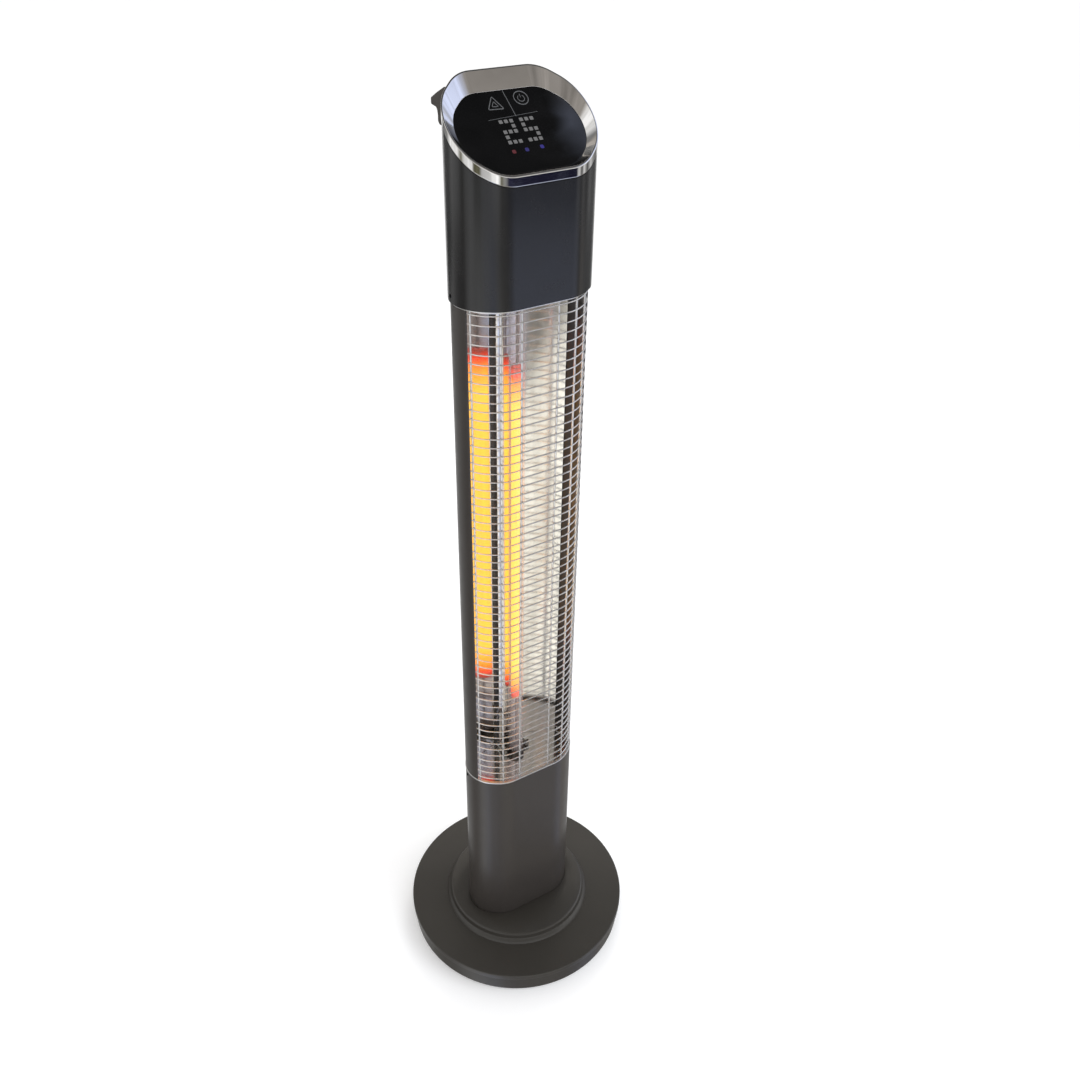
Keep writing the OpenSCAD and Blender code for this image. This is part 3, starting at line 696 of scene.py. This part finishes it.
# ---------------------------------------------------------------- guard
# The wires run just inside the plan outline, and the uprights just behind them
WIRE_GROW, WIRE_R, WIRE_END_Y = -1.5, 0.75, -18.1
UPRIGHT_GROW, UPRIGHT_R = -3.5, 1.1
WELD_R = 1.25
GUARD_COUNT, CAD_WIRE = 62, 1.8
guard_low, guard_high = span("guard_wires", 2)
GUARD_PITCH = round((guard_high - guard_low - CAD_WIRE) / (GUARD_COUNT - 1), 3)
guard_levels = [round(guard_low + CAD_WIRE / 2, 3) + GUARD_PITCH * k for k in range(GUARD_COUNT)]
wire_path = front_path(WIRE_GROW, WIRE_END_Y)
wires = [tube_parts([(x, y, z) for x, y in wire_path], WIRE_R, 8) for z in guard_levels]
wire_set = as_object("guard_wire_set", *joined(wires), WIRE_SHARP_DEG)
dress(wire_set, "guard_chrome", stands_for=["guard_wires"])


def on_circle(circle, grow, degrees):
    """A point of a grown corner circle of the plan, at an angle from +X."""
    t = math.radians(degrees)
    return circle[0] + (circle[2] + grow) * math.cos(t), circle[1] + (circle[2] + grow) * math.sin(t)


front_circle, side_circle = HALF_PLAN[0], HALF_PLAN[1]
right_spots = [
    (21.0, front_circle[1] - front_circle[2] - UPRIGHT_GROW),
    on_circle(front_circle, UPRIGHT_GROW, -68.0),
    on_circle(side_circle, UPRIGHT_GROW, -28.0),
]
upright_spots = right_spots + [(-x, y) for x, y in right_spots]
uprights, welds = [], []
for x, y in upright_spots:
    heights = np.linspace(CHAMBER_BOTTOM, CHAMBER_TOP - TRIM_H, 3)
    uprights.append(tube_parts([(x, y, z) for z in heights], UPRIGHT_R, 12))
    nearest = wire_path[np.argmin(np.hypot(wire_path[:, 0] - x, wire_path[:, 1] - y))]
    middle = (nearest + np.array([x, y])) / 2
    welds += [ball_parts((*middle, z), WELD_R) for z in guard_levels]
upright_set = as_object("guard_upright_set", *joined(uprights + welds), WIRE_SHARP_DEG)
dress(upright_set, "guard_chrome", stands_for=["guard_uprights"])

# ---------------------------------------------------------------- lamp
COIL_R, COIL_WIRE, COIL_PITCH, COIL_POINTS = 5.4, 0.75, 2.0, 14
ROD_LOW, ROD_HIGH, ROD_R = span("heating_coil", 2)[0], 962.0, 0.9
coil_steps = int((COIL_Z1 - COIL_Z0) / COIL_PITCH * COIL_POINTS)
helix = []
for k in range(coil_steps + 1):
    t = 2 * math.pi * k / COIL_POINTS
    rise = COIL_PITCH * k / COIL_POINTS
    helix.append((COIL_R * math.cos(t), LAMP_Y + COIL_R * math.sin(t), COIL_Z0 + rise))
coil = as_object("lamp_coil", *tube_parts(helix, COIL_WIRE, 6), 60.0)
dress(coil, "glowing_coil", stands_for=["heating_coil"])
lead_rods = []
for rod_from, rod_to in ((ROD_LOW, COIL_Z0), (COIL_Z1, ROD_HIGH)):
    rod = [(0.0, LAMP_Y, z) for z in np.linspace(rod_from, rod_to, 5)]
    lead_rods.append(tube_parts(rod, ROD_R, 10))
dress(as_object("lamp_lead_rods", *joined(lead_rods), WIRE_SHARP_DEG), "clip_steel")

# ---------------------------------------------------------------- reflector
RIDGE_Y, VALLEY_X, WING_X = 18.0, 19.0, 66.4
# The wing is a parabola with this radius at its vertex
WING_BOW, WING_VERTEX = 180.0, (-15.5, 31.4)
RIDGE_STEPS, WING_STEPS = 20, 44
SHEET = 0.8
REFLECTOR_Z0, REFLECTOR_Z1 = span("reflector", 2)


def wing_y(x):
    """Depth of the right wing's front face at x."""
    return WING_VERTEX[1] - (x - WING_VERTEX[0]) ** 2 / (2 * WING_BOW)


def half_profile():
    """Rounded ridge behind the lamp, then a shallow wing out to the shell."""
    rise = wing_y(VALLEY_X) - RIDGE_Y
    shares = np.linspace(0.0, 1.0, RIDGE_STEPS, endpoint=False)
    ridge = [(VALLEY_X * t, RIDGE_Y + rise * t**3) for t in shares]
    return ridge + [(x, wing_y(x)) for x in np.linspace(VALLEY_X, WING_X, WING_STEPS)]


def reflector():
    """One bent sheet: its front profile, the same set back by the sheet's thickness, and closed ends."""
    right = half_profile()
    front = np.array([(-x, y) for x, y in reversed(right[1:])] + right)
    direction = np.gradient(front, axis=0)
    direction /= np.linalg.norm(direction, axis=1)[:, None]
    normal = np.column_stack([-direction[:, 1], direction[:, 0]])
    section = np.concatenate([front, (front + SHEET * normal)[::-1]])
    heights = [REFLECTOR_Z0, (REFLECTOR_Z0 + REFLECTOR_Z1) / 2, REFLECTOR_Z1]
    n = len(section)
    verts = [(x, y, z) for z in heights for x, y in section]
    faces = grid_faces(len(heights), n, False)
    half = len(front)
    for level in (0, len(heights) - 1):
        base = level * n
        faces += [(base + i, base + i + 1, base + n - 2 - i, base + n - 1 - i) for i in range(half - 1)]
    return as_object("reflector_sheet", verts, faces, 28.0)


dress(reflector(), "reflector_aluminium", stands_for=["reflector"])

# ---------------------------------------------------------------- rounded copies of moulded parts
for source, piece_name, slot_name, body_name, width in (
    ("carry_handle", "carry_handle_moulding", "handle_grey", "root", 1.6),
    ("rear_vent", "vent_grille", "fitting_black", "root", 0.35),
    ("switch_frame", "switch_surround", "fitting_black", "root", 0.4),
    ("cable_gland", "gland_body", "fitting_black", "root", 0.4),
    ("display_panel", "display_glass", "display_gloss", "root", 0.3),
    ("power_rocker", "rocker_key", "rocker_red", "rocker", 0.35),
    ("lamp_clip", "tube_clip", "clip_steel", "root", 0.25),
):
    dress(softened(source, piece_name, width), slot_name, body_name, [source])

# ---------------------------------------------------------------- screws
SCREW_R, SCREW_H, SCREW_FOOT = 2.0, 0.9, 0.3
# Rings of a screw head as shares of its radius, closest together where the recess ends
SCREW_RINGS = [0.0, 0.1, 0.2, 0.3, 0.4, 0.5, 0.58, 0.64, 0.72, 0.82, 0.92, 1.0]


def screw_parts(columns=32):
    """Pan head with a cross recess: a domed grid whose middle is pressed down along two bars."""
    arm_length, arm_width, depth = SCREW_R * 0.62, SCREW_R * 0.17, SCREW_H * 0.75
    spokes = [(math.cos(t), math.sin(t)) for t in np.linspace(0, 2 * math.pi, columns, endpoint=False)]
    verts = []
    for share in SCREW_RINGS:
        for dx, dy in spokes:
            x, y = share * SCREW_R * dx, share * SCREW_R * dy
            z = SCREW_H * (1 - 0.55 * share**3)
            if min(abs(x), abs(y)) < arm_width and max(abs(x), abs(y)) < arm_length:
                z -= depth
            verts.append((x, y, z))
    verts += [(SCREW_R * dx, SCREW_R * dy, -SCREW_FOOT) for dx, dy in spokes]
    rows = len(SCREW_RINGS) + 1
    faces = grid_faces(rows, columns, False)
    faces.append(tuple((rows - 1) * columns + c for c in range(columns - 1, -1, -1)))
    return verts, faces


def facing(position, direction):
    """Matrix that puts local +Z along direction at position."""
    quaternion = Vector(direction).to_track_quat("Z", "Y")
    return Matrix.Translation(position) @ quaternion.to_matrix().to_4x4()


def screw_set(name, z, grow):
    """Screw heads on both side faces of the column, at height z on the grown plan."""
    radius = side_circle[2] + grow
    t = math.asin((SCREW_Y - side_circle[1]) / radius)
    x = side_circle[0] + radius * math.cos(t)
    parts = []
    for s in (1, -1):
        spot = facing((s * x, SCREW_Y, z), (s * math.cos(t), math.sin(t), 0.0))
        parts.append(placed(screw_parts(), spot))
    dress(as_object(name, *joined(parts), 30.0), "screw_black")


SCREW_Y, PROUD = 2.0, 0.05
screw_set("housing_screw_heads", CHAMBER_BOTTOM - 8.5, PROUD)
screw_set("head_screw_heads", CHAMBER_TOP + 6.5, HEAD_STEP + PROUD)

# ---------------------------------------------------------------- camera, floor, light
CAMERA_AT = (-526.2, -879.8, 1344.3)
# The camera looks from the front left: heading right of +Y, dip below level, and lean, in degrees
HEADING, DIP, LEAN = 32.28, 34.41, 1.02
LENS, SENSOR = 36.31, 36.0
camera_data = bpy.data.cameras.new("camera")
camera_data.lens = LENS
camera_data.sensor_width = SENSOR
camera_data.clip_start, camera_data.clip_end = 0.05, 50.0
camera = bpy.data.objects.new("camera", camera_data)
SCENE.collection.objects.link(camera)
camera.matrix_world = (
    Matrix.Translation(Vector(CAMERA_AT) * MM)
    @ Matrix.Rotation(math.radians(-HEADING), 4, "Z")
    @ Matrix.Rotation(math.radians(90 - DIP), 4, "X")
    @ Matrix.Rotation(math.radians(LEAN), 4, "Z")
)
SCENE.camera = camera

SCENE.view_settings.view_transform = "Standard"
SCENE.view_settings.look = "None"

FLOOR = 30.0
floor_corners = [(-FLOOR, -FLOOR, 0), (FLOOR, -FLOOR, 0), (FLOOR, FLOOR, 0), (-FLOOR, FLOOR, 0)]
floor_mesh = bpy.data.meshes.new("floor")
floor_mesh.from_pydata(floor_corners, [], [(0, 1, 2, 3)])
floor = bpy.data.objects.new("floor", floor_mesh)
SCENE.collection.objects.link(floor)
floor_paint = Finish("floor_white", (0.86, 0.86, 0.86), 0.9).rough_noise(0.03, 4.0)
floor_paint.set("Emission Color", (1.0, 1.0, 1.0, 1.0)).set("Emission Strength", 0.24)
floor_mesh.materials.append(floor_paint.mat)
floor.visible_glossy = False


def world_light():
    """White to the camera, even light on matt surfaces, and a room of soft zones in reflections."""
    world = bpy.data.worlds.new("studio")
    world.use_nodes = True
    tree = world.node_tree
    tree.nodes.clear()

    def node(kind, **values):
        return add_node(tree, kind, **values)

    def math_node(operation, a, b):
        n = node("ShaderNodeMath", operation=operation)
        for socket, value in zip(n.inputs, (a, b)):
            if isinstance(value, (int, float)):
                socket.default_value = value
            else:
                tree.links.new(value, socket)
        return n.outputs[0]

    coords = node("ShaderNodeTexCoord")
    split = node("ShaderNodeSeparateXYZ")
    tree.links.new(coords.outputs["Generated"], split.inputs["Vector"])
    x, y, z = split.outputs
    azimuth = math_node("ARCTAN2", x, math_node("MULTIPLY", y, -1.0))
    turn = math_node("ADD", math_node("DIVIDE", azimuth, 2 * math.pi), 0.5)

    def around(*stops):
        """Stops of azimuth in degrees from the front, positive to the right, brightness and tint."""
        return add_ramp(tree, turn, [(a / 360 + 0.5, tuple(v * c for c in tint)) for a, v, tint in stops])

    grey, cool, warm, cream = (1.0, 1.0, 1.0), (0.82, 0.90, 1.18), (1.0, 0.93, 0.86), (1.0, 0.965, 0.87)
    navy, olive, pale = (0.6, 0.6, 1.3), (1.0, 0.95, 0.6), (0.95, 0.98, 1.05)
    deep = around(
        (-180, 0.6, grey), (-150, 0.55, grey), (-120, 0.20, warm), (-100, 0.30, grey), (-80, 1.1, grey),
        (-52, 1.1, cool), (-44, 0.25, warm), (-13, 0.30, warm), (-6, 0.42, grey), (-1, 0.24, grey),
        (5, 0.38, warm), (12, 0.30, warm), (30, 0.10, warm), (44, 0.30, cool), (52, 0.55, cool),
        (66, 0.50, cool), (76, 0.40, warm), (110, 0.45, grey), (135, 1.0, grey), (170, 1.0, grey),
    )
    low = around(
        (-180, 0.6, grey), (-150, 0.50, grey), (-120, 0.12, warm), (-100, 0.20, warm), (-84, 0.9, grey),
        (-62, 1.1, grey), (-46, 1.1, grey), (-38, 0.75, cool), (-28, 0.75, cool), (-20, 1.1, grey),
        (-14, 1.06, cream), (14, 1.08, cream), (28, 1.0, cream), (34, 0.40, warm), (44, 0.60, warm),
        (56, 0.76, warm), (66, 0.70, warm), (76, 0.40, warm), (110, 0.35, grey), (135, 1.0, grey),
        (170, 1.0, grey),
    )
    eye = around(
        (-180, 0.10, grey), (-150, 0.04, grey), (-60, 0.03, grey), (-24, 0.30, warm), (-12, 0.20, warm),
        (4, 0.22, warm), (14, 0.45, cool), (22, 0.95, cool), (40, 0.95, cool), (52, 0.70, cool),
        (60, 0.30, warm), (72, 0.60, warm), (85, 0.30, grey), (110, 0.12, grey), (135, 0.9, grey),
        (170, 0.9, grey),
    )
    brow = around(
        (-180, 0.12, grey), (-150, 0.30, grey), (-138, 0.95, grey), (-112, 0.85, grey), (-100, 0.12, olive),
        (-88, 0.90, grey), (-70, 0.80, grey), (-64, 0.10, olive), (-50, 0.14, olive), (-44, 0.55, grey),
        (-32, 1.1, grey), (-20, 1.0, grey), (-12, 0.12, olive), (-2, 0.30, grey), (6, 0.04, navy),
        (22, 0.02, navy), (42, 0.02, navy), (50, 0.75, grey), (58, 0.05, grey), (68, 0.70, grey),
        (78, 0.08, grey), (96, 0.60, grey), (110, 0.08, grey), (130, 0.9, grey), (170, 0.9, grey),
    )
    horizon = around(
        (-180, 0.3, grey), (-120, 0.9, grey), (-60, 1.3, grey), (80, 1.3, grey), (110, 0.85, cool),
        (128, 0.35, grey), (140, 0.9, grey), (150, 0.9, grey),
    )
    high = around(
        (-180, 0.5, warm), (-140, 0.35, warm), (-80, 0.60, grey), (-36, 0.30, warm), (-10, 0.24, warm),
        (8, 0.34, warm), (24, 0.22, warm), (46, 0.30, warm), (62, 0.85, cool), (96, 0.90, cool),
        (108, 0.35, grey), (130, 0.7, warm), (165, 0.9, warm),
    )
    ceiling = around(
        (-180, 0.10, grey), (-140, 0.25, grey), (-112, 0.95, grey), (-84, 0.95, grey), (-66, 0.35, warm),
        (-30, 0.26, warm), (40, 0.12, grey), (120, 0.05, grey), (165, 0.10, grey),
    )

    def blend(below, above, edge_deg, half_deg, slant):
        """Passes from one zone to the next at an elevation, which the slant shifts from left to right."""
        level = math_node("ADD", z, math_node("MULTIPLY", x, slant))
        step = node("ShaderNodeMapRange", interpolation_type="SMOOTHSTEP")
        step.inputs["From Min"].default_value = math.sin(math.radians(edge_deg - half_deg))
        step.inputs["From Max"].default_value = math.sin(math.radians(edge_deg + half_deg))
        tree.links.new(level, step.inputs["Value"])
        mix = node("ShaderNodeMix", data_type="RGBA")
        tree.links.new(step.outputs["Result"], mix.inputs["Factor"])
        tree.links.new(below, mix.inputs["A"])
        tree.links.new(above, mix.inputs["B"])
        return mix.outputs["Result"]

    room = deep
    for above, edge_deg, half_deg, slant in (
        (low, -43.0, 0.8, 0.0),
        (eye, -25.2, 1.2, 0.17),
        (brow, -18.1, 0.5, 0.0),
        (horizon, -4.0, 2.0, 0.0),
        (high, 15.0, 4.0, 0.0),
        (ceiling, 49.0, 2.5, 0.0),
    ):
        room = blend(room, above, edge_deg, half_deg, slant)

    clutter = node("ShaderNodeTexNoise")
    clutter.inputs["Scale"].default_value = 9.0
    clutter.inputs["Detail"].default_value = 5.0
    tree.links.new(coords.outputs["Generated"], clutter.inputs["Vector"])
    clutter_stops = [(0.32, (0.62, 0.62, 0.60)), (0.62, (1.12, 1.12, 1.12))]
    uneven = add_ramp(tree, clutter.outputs["Fac"], clutter_stops)
    mottle = node("ShaderNodeMix", data_type="RGBA", blend_type="MULTIPLY")
    mottle.inputs["Factor"].default_value = 0.75
    tree.links.new(room, mottle.inputs["A"])
    tree.links.new(uneven, mottle.inputs["B"])
    path = node("ShaderNodeLightPath")
    even = around(
        (-180, 0.80, grey), (-110, 0.66, warm), (-60, 0.80, grey), (20, 1.15, pale), (80, 1.05, grey),
    )
    pick_light = node("ShaderNodeMix", data_type="RGBA")
    tree.links.new(path.outputs["Is Glossy Ray"], pick_light.inputs["Factor"])
    tree.links.new(even, pick_light.inputs["A"])
    tree.links.new(mottle.outputs["Result"], pick_light.inputs["B"])
    lighting = node("ShaderNodeBackground")
    tree.links.new(pick_light.outputs["Result"], lighting.inputs["Color"])
    backdrop = node("ShaderNodeBackground")
    backdrop.inputs["Color"].default_value = (1.0, 1.0, 1.0, 1.0)
    backdrop.inputs["Strength"].default_value = 1.05
    either = node("ShaderNodeMixShader")
    tree.links.new(path.outputs["Is Camera Ray"], either.inputs["Fac"])
    tree.links.new(lighting.outputs[0], either.inputs[1])
    tree.links.new(backdrop.outputs[0], either.inputs[2])
    output = node("ShaderNodeOutputWorld")
    tree.links.new(either.outputs[0], output.inputs["Surface"])
    SCENE.world = world


world_light()


LIGHT_TARGET = Vector((0.0, 0.0, 0.6))


def soft_light(name, position, size, power, color):
    """A large area light, in metres, aimed at the heater's middle and unseen in reflections."""
    data = bpy.data.lights.new(name, "AREA")
    data.shape = "RECTANGLE"
    data.size, data.size_y = size
    data.energy = power
    data.color = color
    light = bpy.data.objects.new(name, data)
    SCENE.collection.objects.link(light)
    light.location = position
    aim = LIGHT_TARGET - Vector(position)
    light.rotation_mode = "QUATERNION"
    light.rotation_quaternion = aim.to_track_quat("-Z", "Y")
    light.visible_camera = False
    light.visible_glossy = False


soft_light("key", (1.1, -1.5, 2.0), (1.2, 1.4), 14.0, (0.95, 0.97, 1.0))
soft_light("back_edge", (1.3, 1.4, 1.5), (0.7, 1.6), 10.0, (1.0, 1.0, 1.0))
